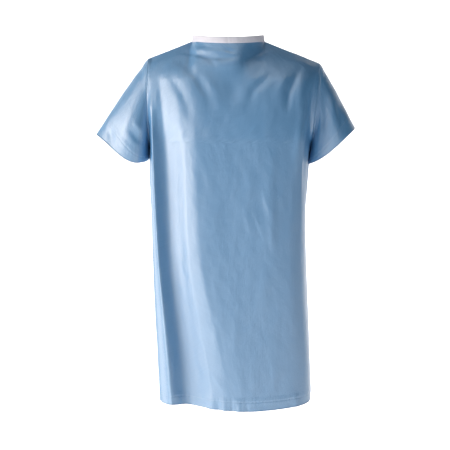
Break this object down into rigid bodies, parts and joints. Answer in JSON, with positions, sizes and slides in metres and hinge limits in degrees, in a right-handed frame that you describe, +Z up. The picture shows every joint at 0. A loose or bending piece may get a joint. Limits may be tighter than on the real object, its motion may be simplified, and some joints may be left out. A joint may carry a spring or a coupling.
{
  "type": "patient gown",
  "caption": "Short-sleeved, knee-length patient gown with a high neck binding and a tie-closed open back, in its worn shape.",
  "frame": {"origin": "middle of the neck opening, level with the shoulder seams' neck ends", "axes": "+Z up, -Y towards the gown's front, +X towards the wearer's left"},
  "size_m": [0.7095, 0.2613, 1.0146],
  "materials": {
    "blue_cloth": "soft woven, light blue",
    "white_tape": "woven tape, white"
  },
  "bodies": {
    "torso": {"front_panel": "blue_cloth", "front_hem": "blue_cloth", "neck_binding": "white_tape", "shoulder_seam_left": "blue_cloth", "side_seam_left": "blue_cloth", "armhole_seam_left": "blue_cloth", "back_left_upper": "blue_cloth", "back_left_edge_hem_upper": "blue_cloth", "shoulder_seam_right": "blue_cloth", "side_seam_right": "blue_cloth", "armhole_seam_right": "blue_cloth", "back_right_upper": "blue_cloth", "back_right_edge_hem_upper": "blue_cloth"},
    "left_back_flap": {"back_left_lower": "blue_cloth", "back_left_hem": "blue_cloth", "back_left_edge_hem_lower": "blue_cloth", "waist_tie_anchor_left": "white_tape"},
    "left_sleeve": {"sleeve_left": "blue_cloth", "sleeve_left_hem": "blue_cloth"},
    "left_neck_tie": {"neck_tie_left": "white_tape"},
    "left_waist_tie": {"waist_tie_left": "white_tape"},
    "right_back_flap": {"back_right_lower": "blue_cloth", "back_right_hem": "blue_cloth", "back_right_edge_hem_lower": "blue_cloth", "waist_tie_anchor_right": "white_tape"},
    "right_sleeve": {"sleeve_right": "blue_cloth", "sleeve_right_hem": "blue_cloth"},
    "right_neck_tie": {"neck_tie_right": "white_tape"},
    "right_waist_tie": {"waist_tie_right": "white_tape"}
  },
  "joints": [
    {"name": "left_sleeve_lift", "type": "hinge", "parent": "torso", "child": "left_sleeve", "pos_m": [0.2495, 0, -0.06], "axis": [0, -1, 0], "range_deg": [0, 15]},
    {"name": "left_back_open", "type": "hinge", "parent": "torso", "child": "left_back_flap", "pos_m": [0.206, 0, -0.362], "axis": [0.0378, 0, -0.9993], "range_deg": [0, 60]},
    {"name": "left_neck_tie_swing", "type": "hinge", "parent": "torso", "child": "left_neck_tie", "pos_m": [0.0085, 0.063, 0.013], "axis": [1, 0, 0], "range_deg": [0, 90]},
    {"name": "left_waist_tie_swing", "type": "hinge", "parent": "left_back_flap", "child": "left_waist_tie", "pos_m": [0.034, 0.1277, -0.5206], "axis": [1, 0, 0], "range_deg": [0, 90]},
    {"name": "right_sleeve_lift", "type": "hinge", "parent": "torso", "child": "right_sleeve", "pos_m": [-0.2185, 0, -0.047], "axis": [0, 1, 0], "range_deg": [0, 15]},
    {"name": "right_back_open", "type": "hinge", "parent": "torso", "child": "right_back_flap", "pos_m": [-0.216, -0.012, -0.362], "axis": [-0.0456, -0.0566, 0.9974], "range_deg": [0, 60]},
    {"name": "right_neck_tie_swing", "type": "hinge", "parent": "torso", "child": "right_neck_tie", "pos_m": [-0.0085, 0.063, 0.013], "axis": [1, 0, 0], "range_deg": [0, 90]},
    {"name": "right_waist_tie_swing", "type": "hinge", "parent": "right_back_flap", "child": "right_waist_tie", "pos_m": [-0.034, 0.1277, -0.5206], "axis": [1, 0, 0], "range_deg": [0, 90]}
  ]
}
